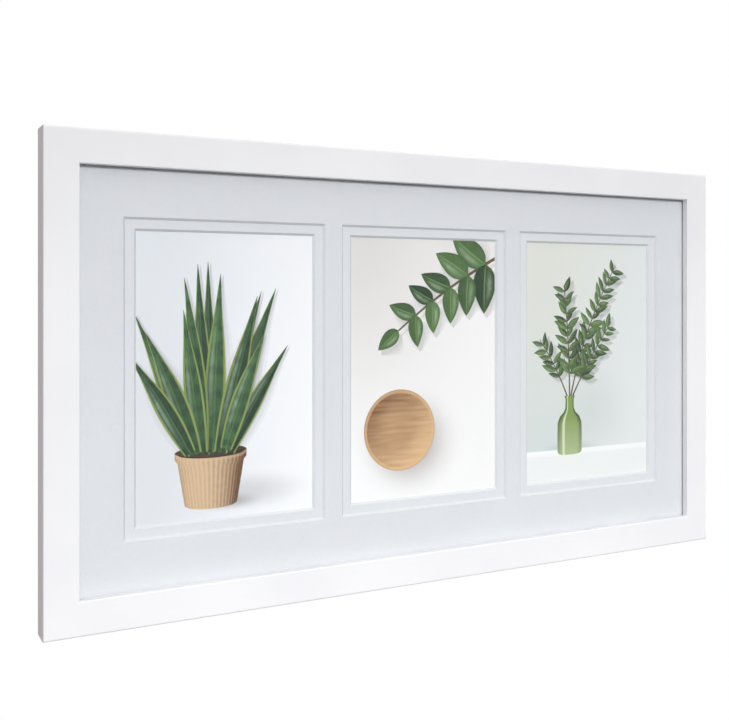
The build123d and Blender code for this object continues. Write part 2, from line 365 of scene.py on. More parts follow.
def strands_laid(tree, place, angles, stretch):
    """The strongest of several layers of strands, each turned in the plane of the frame."""
    most = None
    for angle in angles:
        turning = {"Vector": place, "Angle": angle}
        turned = node(tree, "ShaderNodeVectorRotate", turning, rotation_type="Y_AXIS").outputs[0]
        layer = cloudy(tree, turned, 1.0, 2, stretch)
        most = calc(tree, "MAXIMUM", most, layer) if most else layer
    return most


# %% Paper fibre and handled wear
FIBRE_ANGLES = (0.2, 0.9, 1.7, 2.5)
FIBRE_STRETCH = (1, 1, 0.15)
SCRATCH_ANGLES = (0.35, 1.3, 2.2)
SCRATCH_STRETCH = (14, 1, 0.25)


def fibre_group():
    """Fibre: short strands, 0 to 1. Fleck: a few darker bits. Cloud: broad, slow changes of tone."""
    inputs = (("Place", None), ("Strand", 0.6 * MM), ("Cloud Size", 40 * MM))
    tree, given, result = new_group("paper_fibre", inputs, ("Fibre", "Fleck", "Cloud"))
    close_up = scaled_place(tree, given["Place"], calc(tree, "DIVIDE", 1.0, given["Strand"]))
    most = strands_laid(tree, close_up, FIBRE_ANGLES, FIBRE_STRETCH)
    plug(tree, result["Fibre"], ease(tree, most, 0.45, 0.75))
    bits = cloudy(tree, close_up, 0.45, 1, (0.5, 1, 1))
    plug(tree, result["Fleck"], ease(tree, bits, 0.68, 0.78))
    cloud_scale = calc(tree, "DIVIDE", 1.0, given["Cloud Size"])
    cloud = node(tree, "ShaderNodeTexNoise", {"Vector": given["Place"], "Scale": cloud_scale, "Detail": 2.0})
    plug(tree, result["Cloud"], cloud.outputs[0])
    return tree


def wear_group():
    """Scratch: fine straight marks. Dull: soft spots where a finish has lost its shine."""
    inputs = (("Place", None), ("Scale", 900.0), ("Amount", 0.5))
    tree, given, result = new_group("handled_wear", inputs, ("Scratch", "Dull"))
    close_up = scaled_place(tree, given["Place"], given["Scale"])
    most = strands_laid(tree, close_up, SCRATCH_ANGLES, SCRATCH_STRETCH)
    limit = spread(tree, given["Amount"], 0.82, 0.66)
    plug(tree, result["Scratch"], ease(tree, calc(tree, "SUBTRACT", most, limit), 0.0, 0.08))
    plug(tree, result["Dull"], ease(tree, cloudy(tree, close_up, 0.35, 3), 0.4, 0.7))
    return tree


PAPER_FIBRE = fibre_group()
HANDLED_WEAR = wear_group()
print("shared groups:", PAPER_FIBRE.name, HANDLED_WEAR.name)

# %% [markdown]
# ## Painted timber
# The rails are a flat timber moulding with a satin white finish. The paint follows the grain a little, so
# its faint lines run along each rail and change direction at the mitre. The outer sides get painted shade:
# a warmer grey tint for the shade they lie in. At the back the timber is bare and the seam of each mitre
# shows.
# Four materials could give four directions, or a UV map on each rail. One material is less work: it asks on
# which side of the mitre a point lies, and draws its lines along X or along Z.

# %% Painted timber
MITRE_OFFSET = cad_high.x - cad_high.z
BACK_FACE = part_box("rail_top")[1].y
SEAM_WIDTH = 0.25 * MM
SIDE_FADE = 0.5 * MM
PAINT_EDGE = 0.5 * MM
PAINT_FADE = 0.1 * MM
# Noise scales, in patches to the metre.
PAINT_LINES = 1100
PAINT_PEEL = 1400
PAINT_TONE = 14
TIMBER_GRAIN = 420
RAGGED_EDGE = 900


def along_rails(tree, place, upright, scale, detail, ratio):
    """Noise drawn out along each rail: along X on the level rails and along Z on the uprights."""
    level_lines = cloudy(tree, place, scale, detail, (ratio, 1, 1))
    upright_lines = cloudy(tree, place, scale, detail, (1, 1, ratio))
    return between(tree, upright, level_lines, upright_lines)


def painted_timber():
    material, tree, shader = new_material("painted_timber", Specular_IOR_Level=0.25)
    place = object_place(tree)
    x, y, z = node(tree, "ShaderNodeSeparateXYZ", {0: place}).outputs
    across = calc(tree, "ABSOLUTE", x)
    up = calc(tree, "ABSOLUTE", z)
    past_mitre = calc(tree, "SUBTRACT", calc(tree, "SUBTRACT", across, up), MITRE_OFFSET)
    upright = calc(tree, "GREATER_THAN", past_mitre, 0.0)
    seam = ease(tree, calc(tree, "ABSOLUTE", past_mitre), SEAM_WIDTH, SEAM_WIDTH / 4)
    to_side = calc(tree, "SUBTRACT", across, cad_high.x)
    to_end = calc(tree, "SUBTRACT", up, cad_high.z)
    # Mask for the painted shade on the outer sides, fading in over SIDE_FADE.
    outer_side_shade = ease(tree, calc(tree, "MAXIMUM", to_side, to_end), -SIDE_FADE, -SIDE_FADE / 5)
    lines = along_rails(tree, place, upright, PAINT_LINES, 2, 0.02)
    peel = cloudy(tree, place, PAINT_PEEL, 2)
    tone = cloudy(tree, place, PAINT_TONE, 3)
    paint = mixed(tree, ease(tree, tone, 0.3, 0.7), srgb(238, 238, 241), srgb(243, 243, 244))
    paint = tinted(tree, paint, srgb(226, 227, 231), lines, 0.10)
    # Painted shade: the outer sides are tinted a warmer grey, standing for the shade on them.
    paint = tinted(tree, paint, srgb(220, 209, 211), outer_side_shade, 0.8)
    grain = along_rails(tree, place, upright, TIMBER_GRAIN, 5, 0.03)
    timber = mixed(tree, ease(tree, grain, 0.3, 0.7), srgb(196, 158, 112), srgb(224, 194, 150))
    timber = tinted(tree, timber, srgb(104, 76, 48), seam, 0.75)
    ragged = calc(tree, "MULTIPLY_ADD", cloudy(tree, place, RAGGED_EDGE, 3), PAINT_EDGE, y)
    bare = ease(tree, ragged, BACK_FACE - PAINT_FADE, BACK_FACE + PAINT_FADE)
    plug(tree, shader.inputs["Base Color"], mixed(tree, bare, paint, timber))
    plug(tree, shader.inputs["Roughness"], between(tree, bare, spread(tree, tone, 0.50, 0.60), 0.8))
    raised(tree, shader, between(tree, 0.4, peel, lines), 0.02 * MM)
    return material


dress(painted_timber(), "rail_top", "rail_bottom", "rail_left", "rail_right")

# %% [markdown]
# ## Clear glass
# A ray bends twice in a sheet of glass and leaves it beside where it came in, so a transmission shader is
# right for what the camera sees. But Cycles can't send lamp light through a refracting sheet without noise,
# so for shadow rays and for light bounced off the mats the sheet is simply transparent, switched by Light
# Path. Hardly anything is mirrored in the photograph. So the index is below the 1.5 of plain glass, and each
# face reflects only about one percent, as coated picture glass does.

# %% Clear glass
COATED_INDEX = 1.2
SMEARS = 30


def clear_glass():
    material, tree, shader = new_material(
        "clear_glass", Transmission_Weight=1, IOR=COATED_INDEX, Roughness=0)
    smear = cloudy(tree, object_place(tree), SMEARS, 3)
    plug(tree, shader.inputs["Base Color"], mixed(tree, smear, srgb(252, 254, 254), srgb(255, 255, 255)))
    path = node(tree, "ShaderNodeLightPath").outputs
    surface = shader.outputs[0]
    for ray in ("Is Shadow Ray", "Is Diffuse Ray"):
        clear = node(tree, "ShaderNodeBsdfTransparent").outputs[0]
        surface = node(tree, "ShaderNodeMixShader", {0: path[ray], 1: surface, 2: clear}).outputs[0]
    plug(tree, tree.nodes["Material Output"].inputs["Surface"], surface)
    return material


dress(clear_glass(), "glazing_sheet")

# %% [markdown]
# ## Mat board
# Each mat is a card with a cool white face paper on a plainer core. The windows are cut with the blade
# at 45 degrees, so a bevel of the core shows around each. Two materials could be put on by hand, face by
# face. But the paper lies flat everywhere and the core is only seen where the card was cut, so the normal
# tells them apart.

# %% Mat board
MAT_STRAND = 0.5 * MM
FLAT_NORMAL = 0.9


def fibre_masks(tree, place, strand):
    """The masks of the fibre group, with strands about as wide as given."""
    inputs = {"Place": place, "Strand": strand}
    return node(tree, "ShaderNodeGroup", inputs, node_tree=PAPER_FIBRE).outputs


def mat_board():
    material, tree, shader = new_material("mat_board", Roughness=0.85, Specular_IOR_Level=0.2)
    fibre = fibre_masks(tree, object_place(tree), MAT_STRAND)
    face = mixed(tree, fibre["Cloud"], srgb(217, 219, 223), srgb(223, 225, 229))
    face = tinted(tree, face, srgb(232, 234, 236), fibre["Fibre"], 0.25)
    face = tinted(tree, face, srgb(198, 200, 206), fibre["Fleck"], 0.15)
    core = mixed(tree, fibre["Fibre"], srgb(214, 216, 219), srgb(223, 225, 227))
    normal = node(tree, "ShaderNodeNewGeometry").outputs["Normal"]
    forward = calc(tree, "ABSOLUTE", node(tree, "ShaderNodeSeparateXYZ", {0: normal}).outputs["Y"])
    cut = calc(tree, "LESS_THAN", forward, FLAT_NORMAL)
    plug(tree, shader.inputs["Base Color"], mixed(tree, cut, face, core))
    raised(tree, shader, fibre["Fibre"], 0.02 * MM)
    return material


dress(mat_board(), "outer_mat", "inner_mat")

# %% [markdown]
# ## Boards and tape behind the mats
# A filler card takes up the rebate and a hardboard back closes it. The prints hang from strips of paper
# tape. All three show their fibres: fine in the tape, grey in the card, and brown and pressed in the
# hardboard. So one function makes all three from the fibre group, with other colours and sizes.

# %% Boards and tape
BLOTCHES = 150


def fibrous(name, dark, light, fleck, strand, roughness, relief):
    material, tree, shader = new_material(name, Specular_IOR_Level=0.25)
    place = object_place(tree)
    fibre = fibre_masks(tree, place, strand)
    colour = mixed(tree, fibre["Fibre"], dark, light)
    colour = tinted(tree, colour, fleck, fibre["Fleck"], 0.6)
    blotch = ease(tree, cloudy(tree, place, BLOTCHES, 4), 0.35, 0.7)
    colour = tinted(tree, colour, dark, blotch, 0.35)
    colour = tinted(tree, colour, dark, fibre["Cloud"], 0.25)
    plug(tree, shader.inputs["Base Color"], colour)
    plug(tree, shader.inputs["Roughness"], spread(tree, fibre["Cloud"], roughness - 0.1, roughness + 0.1))
    raised(tree, shader, fibre["Fibre"], relief)
    return material


HARDBOARD = fibrous(
    "hardboard", srgb(122, 86, 56), srgb(152, 112, 78), srgb(88, 60, 40),
    strand=0.6 * MM, roughness=0.6, relief=0.04 * MM)
FILLER_CARD = fibrous(
    "filler_card", srgb(150, 142, 130), srgb(178, 170, 158), srgb(110, 104, 96),
    strand=0.8 * MM, roughness=0.85, relief=0.05 * MM)
PAPER_TAPE = fibrous(
    "paper_tape", srgb(226, 218, 200), srgb(238, 232, 218), srgb(200, 190, 170),
    strand=0.4 * MM, roughness=0.8, relief=0.02 * MM)
dress(HARDBOARD, "backing_board")
dress(FILLER_CARD, "filler_board")
dress(PAPER_TAPE, "photo_tapes")

# %% [markdown]
# ## A picture as a cut sheet
# Each print needs a picture, and it has to stay a flat sheet. A picture could be an image file, but then it
# would blur up close. Here it is cut like paper marquetry: leaves, pots and shadows are flat outlines laid
# over each other, and one constrained triangulation cuts the sheet along all of them at once.
# Every triangle remembers the topmost shape it lies in, and how far along and across that shape it is.

# %% Shapes for a picture
Layer = namedtuple("Layer", "points places faces finish tone shade")


def layer_of_rows(rows, finish, tone=0.5, shade=1.0):
    """Joins rows of (point, place) pairs into a layer of triangles. Finish None makes a shadow."""
    width = len(rows[0])
    points = [point for row in rows for point, place in row]
    places = [place for row in rows for point, place in row]
    faces = []
    for first in range(0, len(points) - width, width):
        for left in range(first, first + width - 1):
            corners = (left, left + 1, left + width + 1, left + width)
            for face in ((corners[0], corners[1], corners[2]), (corners[0], corners[2], corners[3])):
                a, b, c = (points[corner] for corner in face)
                faces.append(face if (b - a).cross(c - a) > 0 else face[::-1])
    return Layer(points, places, faces, finish, tone, shade)


def round_wall(middle, profile, tilt, columns=12):
    """Rows of a pot's or bottle's wall, seen a little from above. The profile is (height, half width)."""
    shares = [2 * column / columns - 1 for column in range(columns + 1)]
    rows = []
    for number, (height, half_width) in enumerate(profile):
        s = number / (len(profile) - 1)
        row = []
        for t in shares:
            drop = tilt * half_width * math.sqrt(1 - t * t)
            row.append((Vector((middle + half_width * t, height - drop)), Vector((s, t))))
        rows.append(row)
    return rows


def disc(centre, half_width, half_height, inner=0.004, rings=6, sectors=48):
    """Rows of an ellipse. Places are (0..1 outwards, -1..1 around)."""
    rows = []
    for ring in range(rings + 1):
        s = inner + (1 - inner) * ring / rings
        row = []
        for sector in range(sectors + 1):
            turn = 2 * math.pi * sector / sectors
            reach = Vector((half_width * math.cos(turn), half_height * math.sin(turn)))
            row.append((centre + reach * s, Vector((s, 2 * sector / sectors - 1))))
        rows.append(row)
    return rows


def backdrop(finish, half_width, half_height):
    """The whole sheet. Places run from -1 to 1 across and up."""
    rows = []
    for up in (-1, 1):
        places = [Vector((across, up)) for across in (-1, 1)]
        rows.append([(Vector((half_width * place.x, half_height * place.y)), place) for place in places])
    return layer_of_rows(rows, finish)


print("shapes: round_wall, disc, backdrop")

# %% [markdown]
# A leaf is a strip along a bent midrib, and what kind of leaf it is depends only on how its width changes
# from base to tip. So that is a small function of its own. Each leaf goes down after its own shadow, which
# is three strips of different widths, each a little dark, so that together they have a soft edge.

# %% Leaves and stems
TIP_WIDTH = 0.02
# Each shadow strip's width against its leaf, and the share of light that it leaves.
SHADOW_EDGES = ((1.7, 0.93), (1.3, 0.90), (0.9, 0.88))


def blade(base, angle, length, half_width, bend, outline, steps=12, columns=(-1, 0, 1)):
    """Rows of a leaf or stem along a bent midrib. Places are (0..1 along, -1..1 across)."""
    along = Vector((math.cos(angle), math.sin(angle)))
    across = Vector((-along.y, along.x))
    rows = []
    for step in range(steps + 1):
        s = step / steps
        midrib = base + (along * s + across * bend * s * s) * length
        side = (across - along * 2 * bend * s).normalized() * half_width * max(outline(s), TIP_WIDTH)
        rows.append([(midrib + side * t, Vector((s, t))) for t in columns])
    return rows


def add_blade(layers, finish, base, angle, length, half_width, bend, outline, tone, drop, steps=12):
    """A blade, after its own soft shadow on whatever lies under it."""
    for widening, shade in SHADOW_EDGES:
        shadow = blade(base + drop, angle, length, half_width * widening, bend, outline, steps, (-1, 1))
        layers.append(layer_of_rows(shadow, None, shade=shade))
    layers.append(layer_of_rows(blade(base, angle, length, half_width, bend, outline, steps), finish, tone))


def midrib_at(stem, step):
    """A point on the midrib of a stem, the middle of its three columns, and the heading there."""
    at = stem[step][1][0]
    ahead = stem[step + 1][1][0] - at
    return at, math.atan2(ahead.y, ahead.x)


def lance(s):
    """Widths of a narrow leaf that is pointed at both ends."""
    return math.sin(math.pi * s ** 0.85) ** 0.9


def ovate(s):
    """Widths of an egg-shaped leaf, broadest before its middle."""
    return math.sin(math.pi * s ** 0.72) ** 0.8


def sword(s):
    """Widths of a stiff leaf that swells a little and then runs into a point."""
    return (0.62 + 0.38 * math.sin(math.pi * min(1.25 * s, 1))) * (1 - s ** 3.5)


def even(s):
    """Widths of a stem, which is half as thick at its tip."""
    return 1.0 - 0.5 * s


print("leaf outlines: lance, ovate, sword; stems: even")

# %% [markdown]
# The cutting itself is one call: `delaunay_2d_cdt` takes every triangle of every layer and returns a
# triangulation that keeps all their edges. Then each new triangle looks up which shapes lie over its middle.
# With numpy that is quick: the middles are sorted once, and a shape looks only at those in its span.

# %% Cut a picture
CLOSENESS = 0.0001  # millimetres, like the outlines
EDGE_SLACK = 1e-6
Cut = namedtuple("Cut", "corners layer places shade")


def shares_inside(x, y, corners):
    """How much each corner of a triangle counts at a point, or at many. All are above 0 inside it."""
    a, b, c = corners
    whole = (b - a).cross(c - a)
    to_b = ((x - a.x) * (c.y - a.y) - (y - a.y) * (c.x - a.x)) / whole
    to_c = ((b.x - a.x) * (y - a.y) - (b.y - a.y) * (x - a.x)) / whole
    return 1 - to_b - to_c, to_b, to_c


def covering_faces(middles, layers):
    """For each point, the face of every layer that covers it, as {number of the layer: face}."""
    order = np.argsort(middles[:, 0])
    sorted_x = middles[order, 0]
    covering = [{} for _ in middles]
    for number, layer in enumerate(layers):
        for face in layer.faces:
            corners = [layer.points[corner] for corner in face]
            span = sorted(corner.x for corner in corners)
            first, last = np.searchsorted(sorted_x, (span[0], span[-1]))
            near = order[first:last]
            shares = np.array(shares_inside(middles[near, 0], middles[near, 1], corners))
            for hit in near[shares.min(axis=0) > -EDGE_SLACK]:
                covering[hit][number] = face
    return covering


def cut_sheet(layers):
    """The points of a picture and its triangles: the corners, top layer, places and shade of each."""
    points = [point for layer in layers for point in layer.points]
    faces = []
    start = 0
    for layer in layers:
        faces += [[start + corner for corner in face] for face in layer.faces]
        start += len(layer.points)
    cut_points, _, cut_faces, _, _, _ = delaunay_2d_cdt(points, [], faces, 0, CLOSENESS)
    middles = np.array([cut_points[a] + cut_points[b] + cut_points[c] for a, b, c in cut_faces]) / 3
    cuts = []
    for face, covering in zip(cut_faces, covering_faces(middles, layers)):
        if 0 not in covering:
            continue
        top = max(number for number in covering if layers[number].finish)
        shade = math.prod(layers[number].shade for number in covering if number > top)
        corners = [layers[top].points[corner] for corner in covering[top]]
        ends = [layers[top].places[corner] for corner in covering[top]]
        places = []
        for corner in face:
            counts = shares_inside(cut_points[corner].x, cut_points[corner].y, corners)
            places.append(sum((end * count for end, count in zip(ends, counts)), Vector((0, 0))))
        cuts.append(Cut(face, layers[top], places, shade))
    return cut_points, cuts


# %% [markdown]
# The triangles become a mesh, and two UV maps carry what each one remembers: the place on its shape, and the
# tone and shade. A rim along the border and a back face give the sheet its thickness, so that it is a closed
# solid like the real paper. The rim is made edge by edge, because extruding the border makes its faces in
# another order each run. The sheet then stands for the plain print of the CAD model.

# %% Make it a closed sheet
def close_sheet(bm, back):
    """Gives a flat sheet a rim that reaches to the back, and a back face. Both have the first material."""
    behind = {}
    rim = []
    for edge in [edge for edge in bm.edges if edge.is_boundary]:
        for vert in edge.verts:
            if vert not in behind:
                behind[vert] = bm.verts.new((vert.co.x, back, vert.co.z))
        first, second = edge.verts
        bm.faces.new((first, second, behind[second], behind[first]))
        rim.append(bm.edges.get((behind[first], behind[second])))
    bmesh.ops.holes_fill(bm, edges=rim, sides=0)
    bmesh.ops.recalc_face_normals(bm, faces=bm.faces)


def stand_in(piece, name, body):
    """Lets a piece stand for a CAD node: it rides on that body, and the CAD node is hidden."""
    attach(piece, body)
    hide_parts(name)


def print_mesh(name, layers, finishes, paper):
    """A closed sheet with the picture on its front, in the place of a CAD print."""
    low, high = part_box(name)
    middle = (low + high) / 2
    cut_points, cuts = cut_sheet(layers)
    names = sorted({layer.finish for layer in layers if layer.finish})
    bm = bmesh.new()
    place_map = bm.loops.layers.uv.new("place")
    paint_map = bm.loops.layers.uv.new("paint")
    verts = {}
    for corner in sorted({corner for cut in cuts for corner in cut.corners}):
        point = cut_points[corner]
        verts[corner] = bm.verts.new((middle.x + point.x * MM, low.y, middle.z + point.y * MM))
    for cut in cuts:
        face = bm.faces.new([verts[corner] for corner in cut.corners])
        face.material_index = 1 + names.index(cut.layer.finish)
        for loop, place in zip(face.loops, cut.places):
            loop[place_map].uv = place
            loop[paint_map].uv = (cut.layer.tone, cut.shade)
    bmesh.ops.remove_doubles(bm, verts=bm.verts, dist=CLOSENESS * MM)
    close_sheet(bm, high.y)
    mesh = bpy.data.meshes.new(name + "_sheet")
    bm.to_mesh(mesh)
    bm.free()
    for material in [paper] + [finishes[finish] for finish in names]:
        mesh.materials.append(material)
    sheet = bpy.data.objects.new(name + "_sheet", mesh)
    scene.collection.objects.link(sheet)
    stand_in(sheet, name, "frame")
    print(f"{sheet.name}: {len(layers)} shapes cut into {len(cuts)} triangles")


# %% [markdown]
# ## Inks for the pictures
# An ink is a finish for one kind of shape in a picture. All inks lie on the same photo paper, so they start
# from the two UV maps of the cut sheet, and end with the fine grain of the print and with the shadows.

# %% Ink helpers
PRINT_GRAIN = 4000


def start_ink(name):
    """Photo paper with a picture on it: the material, its nodes and the numbers that the cut sheet holds."""
    material, tree, shader = new_material(name, Specular_IOR_Level=0.3)
    place = node(tree, "ShaderNodeUVMap", uv_map="place").outputs[0]
    paint = node(tree, "ShaderNodeUVMap", uv_map="paint").outputs[0]
    s, t, _ = node(tree, "ShaderNodeSeparateXYZ", {0: place}).outputs
    tone, shade, _ = node(tree, "ShaderNodeSeparateXYZ", {0: paint}).outputs
    return material, tree, shader, s, t, tone, shade


def end_ink(tree, shader, colour, shade):
    grain = cloudy(tree, object_place(tree), PRINT_GRAIN, 1)
    colour = mixed(tree, 1.0, colour, spread(tree, grain, 0.97, 1.03), "MULTIPLY")
    plug(tree, shader.inputs["Base Color"], mixed(tree, 1.0, colour, shade, "MULTIPLY"))
    plug(tree, shader.inputs["Roughness"], spread(tree, grain, 0.28, 0.36))


def either_way(tree, noise, amount):
    """Noise made to go as far below 0 as above it, over a whole range of amount."""
    return calc(tree, "MULTIPLY", calc(tree, "SUBTRACT", noise, 0.5), amount)


def away_from(tree, value, middle):
    return calc(tree, "ABSOLUTE", calc(tree, "SUBTRACT", value, middle))


# %% [markdown]
# A printed leaf isn't one green. It has a paler midrib, side veins, one half in more light than the other,
# and a soft shine. A flat colour for each triangle would look like cut paper. All of that follows the leaf,
# so its finish reads the place along and across the blade.

# %% Leaf inks
LEAF_MOTTLE = 260
BAND_WARP = 330


def leaf_ink(name, dark, light, rib, shine, veins=9, vein_share=0.18, bands=0.0, margin=None):
    material, tree, shader, s, t, tone, shade = start_ink(name)
    place = object_place(tree)
    off_rib = calc(tree, "ABSOLUTE", t)
    half = ease(tree, t, -0.25, 0.25)
    mottle = cloudy(tree, place, LEAF_MOTTLE, 3)
    share = calc(tree, "ADD", calc(tree, "MULTIPLY", tone, 0.75), calc(tree, "MULTIPLY", half, 0.22))
    share = calc(tree, "ADD", share, either_way(tree, mottle, 0.35))
    colour = mixed(tree, share, dark, light)
    if bands:
        warped = calc(tree, "MULTIPLY_ADD", cloudy(tree, place, BAND_WARP, 2), 0.22, s)
        wave = calc(tree, "SINE", calc(tree, "MULTIPLY", warped, bands))
        colour = tinted(tree, colour, dark, ease(tree, wave, -0.2, 0.8), 0.55)
    slant = calc(tree, "MULTIPLY_ADD", off_rib, -0.16, s)
    vein = calc(tree, "PINGPONG", calc(tree, "MULTIPLY", slant, veins), 0.5)
    colour = tinted(tree, colour, rib, ease(tree, vein, 0.12, 0.0), vein_share)
    colour = tinted(tree, colour, rib, ease(tree, off_rib, 0.10, 0.03), 0.6)
    gloss_across = ease(tree, away_from(tree, t, 0.45), 0.35, 0.0)
    gloss_along = ease(tree, away_from(tree, s, 0.45), 0.40, 0.05)
    gloss = calc(tree, "MULTIPLY", gloss_across, gloss_along)
    colour = mixed(tree, calc(tree, "MULTIPLY", gloss, calc(tree, "MULTIPLY", mottle, 0.7)), colour, shine)
    colour = tinted(tree, colour, dark, ease(tree, off_rib, 0.75, 1.0), 0.35)
    if margin:
        colour = mixed(tree, ease(tree, off_rib, 0.74, 0.80), colour, margin)
    end_ink(tree, shader, colour, shade)
    return material


INKS = {
    "sword_leaf": leaf_ink(
        "sword_leaf_ink", srgb(16, 38, 28), srgb(70, 106, 66), srgb(92, 126, 84), srgb(176, 198, 174),
        veins=0, vein_share=0.0, bands=48, margin=srgb(132, 150, 86)),
    "broad_leaf": leaf_ink(
        "broad_leaf_ink", srgb(22, 50, 26), srgb(92, 126, 72), srgb(132, 156, 108), srgb(190, 206, 180),
        veins=8),
    "olive_leaf": leaf_ink(
        "olive_leaf_ink", srgb(26, 54, 30), srgb(96, 128, 72), srgb(150, 168, 116), srgb(176, 196, 150),
        veins=6),
    "twig": leaf_ink(
        "twig_ink", srgb(70, 54, 40), srgb(120, 96, 70), srgb(132, 110, 84), srgb(160, 140, 110),
        veins=30),
    "soil": leaf_ink(
        "soil_ink", srgb(34, 26, 22), srgb(66, 52, 42), srgb(84, 68, 56), srgb(84, 70, 60),
        veins=0),
}
print("leaf inks:", ", ".join(INKS))

# %% [markdown]
# A pot, a bottle and a bowl are flat shapes here too, and only their shading makes them look round. They
# could be modelled and photographed, but a formula does: across a round wall, the place is the sine of the
# angle by which the wall turns away, so the light on it is known.

# %% Round inks
BOWL_LIT_TURN = math.pi - 0.8
POT_LEAN = 0.45
POT_WEAR = 500
BOWL_GRAIN = 520


def lit_round(tree, t, lean):
    """How bright a round wall is across its width, lit from one side by lean."""
    left_over = calc(tree, "SUBTRACT", 1.0, calc(tree, "MULTIPLY", t, t))
    facing = calc(tree, "SQRT", calc(tree, "MAXIMUM", left_over, 0.0))
    lit = calc(tree, "MULTIPLY_ADD", t, -lean, calc(tree, "MULTIPLY", facing, math.sqrt(1 - lean * lean)))
    return calc(tree, "MAXIMUM", lit, 0.0)


def fluted_ink(name, dark, light, flutes):
    material, tree, shader, s, t, _, shade = start_ink(name)
    turn = calc(tree, "ARCSINE", t)
    wave = calc(tree, "COSINE", calc(tree, "MULTIPLY", turn, flutes))
    lit = calc(tree, "MULTIPLY_ADD", wave, 0.16, lit_round(tree, t, POT_LEAN))
    worn = either_way(tree, cloudy(tree, object_place(tree), POT_WEAR, 3), 0.3)
    colour = mixed(tree, calc(tree, "ADD", lit, worn), dark, light)
    lip = ease(tree, s, 0.90, 0.93)
    colour = tinted(tree, colour, light, lip, 0.45)
    end_ink(tree, shader, colour, shade)
    return material


def bottle_ink(name, deep, body, glint):
    material, tree, shader, s, t, _, shade = start_ink(name)
    rim = ease(tree, calc(tree, "ABSOLUTE", t), 0.55, 1.0)
    colour = mixed(tree, rim, body, deep)
    colour = tinted(tree, colour, glint, ease(tree, s, 0.5, 0.0), 0.4)
    streak = ease(tree, away_from(tree, t, -0.5), 0.16, 0.04)
    colour = tinted(tree, colour, glint, streak, 0.75)
    end_ink(tree, shader, colour, shade)
    return material


def turned_ink(name, dark, light, rim_start):
    """A turned wooden bowl from above: straight grain, a hollow lit on its far side, a pale rim."""
    material, tree, shader, s, t, _, shade = start_ink(name)
    turn = calc(tree, "MULTIPLY", t, math.pi)
    far_side = calc(tree, "COSINE", calc(tree, "SUBTRACT", turn, BOWL_LIT_TURN))
    wall = ease(tree, s, 0.25, rim_start)
    hollow = calc(tree, "MULTIPLY", calc(tree, "MULTIPLY", far_side, wall), 0.42)
    figure = either_way(tree, cloudy(tree, object_place(tree), BOWL_GRAIN, 4, (0.10, 1, 1)), 0.75)
    cut_marks = calc(tree, "MULTIPLY", calc(tree, "SINE", calc(tree, "MULTIPLY", s, 120)), 0.02)
    share = calc(tree, "ADD", calc(tree, "ADD", 0.55, hollow), calc(tree, "ADD", figure, cut_marks))
    colour = mixed(tree, share, dark, light)
    rim = ease(tree, s, rim_start, rim_start + 0.02)
    colour = tinted(tree, colour, light, rim, 0.6)
    colour = tinted(tree, colour, dark, ease(tree, s, 0.975, 1.0), 0.5)
    end_ink(tree, shader, colour, shade)
    return material


ROUND_INKS = {
    "fluted_pot": fluted_ink("fluted_pot_ink", srgb(92, 62, 42), srgb(214, 184, 150), flutes=44),
    "pot_inside": fluted_ink("pot_inside_ink", srgb(40, 30, 24), srgb(70, 54, 42), flutes=6),
    "bottle": bottle_ink("bottle_ink", srgb(52, 78, 34), srgb(128, 152, 84), srgb(222, 232, 198)),
    "bowl": turned_ink("bowl_ink", srgb(120, 80, 50), srgb(222, 184, 140), rim_start=0.91),
}
INKS |= ROUND_INKS
print("round inks:", ", ".join(ROUND_INKS))

# %% [markdown]
# Behind the plants are a pale wall, a tabletop, and a wall with a ledge. None of them is one flat tone in a
# real picture. Each fades from side to side, and soft spots add the shadows of what stands there. The spot
# is a node group, because all three backdrops use it.

# %% Backdrop inks
Spot = namedtuple("Spot", "across up half_width half_height share colour")


def spot_group():
    """A soft round or oval spot: 1 in its middle, fading to 0 at its edge."""
    inputs = [(label, 0.0) for label in ("Across", "Up", "Spot Across", "Spot Up")]
    inputs += [("Half Width", 0.5), ("Half Height", 0.5)]
    tree, given, result = new_group("soft_spot", inputs, ("Mask",))
    squares = []
    for here, there, reach in (("Across", "Spot Across", "Half Width"), ("Up", "Spot Up", "Half Height")):
        away = calc(tree, "DIVIDE", calc(tree, "SUBTRACT", given[here], given[there]), given[reach])
        squares.append(calc(tree, "MULTIPLY", away, away))
    outwards = calc(tree, "SQRT", calc(tree, "ADD", squares[0], squares[1]))
    plug(tree, result["Mask"], ease(tree, outwards, 1.0, 0.0))
    return tree


SOFT_SPOT = spot_group()


def backdrop_ink(name, low_left, top_left, right, spots, ledge=None):
    """A pale wall or tabletop with soft spots, and perhaps a ledge: its height, face and edge."""
    material, tree, shader, s, t, _, shade = start_ink(name)
    colour = mixed(tree, ease(tree, t, -1, 1), low_left, top_left)
    colour = mixed(tree, ease(tree, s, -0.9, 1.0), colour, right)
    for spot in spots:
        inputs = {"Across": s, "Up": t, "Spot Across": spot.across, "Spot Up": spot.up}
        inputs |= {"Half Width": spot.half_width, "Half Height": spot.half_height}
        mask = node(tree, "ShaderNodeGroup", inputs, node_tree=SOFT_SPOT).outputs["Mask"]
        colour = tinted(tree, colour, spot.colour, mask, spot.share)
    if ledge:
        height, face, edge = ledge
        colour = mixed(tree, ease(tree, t, height + 0.012, height), colour, edge)
        colour = mixed(tree, ease(tree, t, height - 0.02, height - 0.05), colour, face)
    end_ink(tree, shader, colour, shade)
    return material


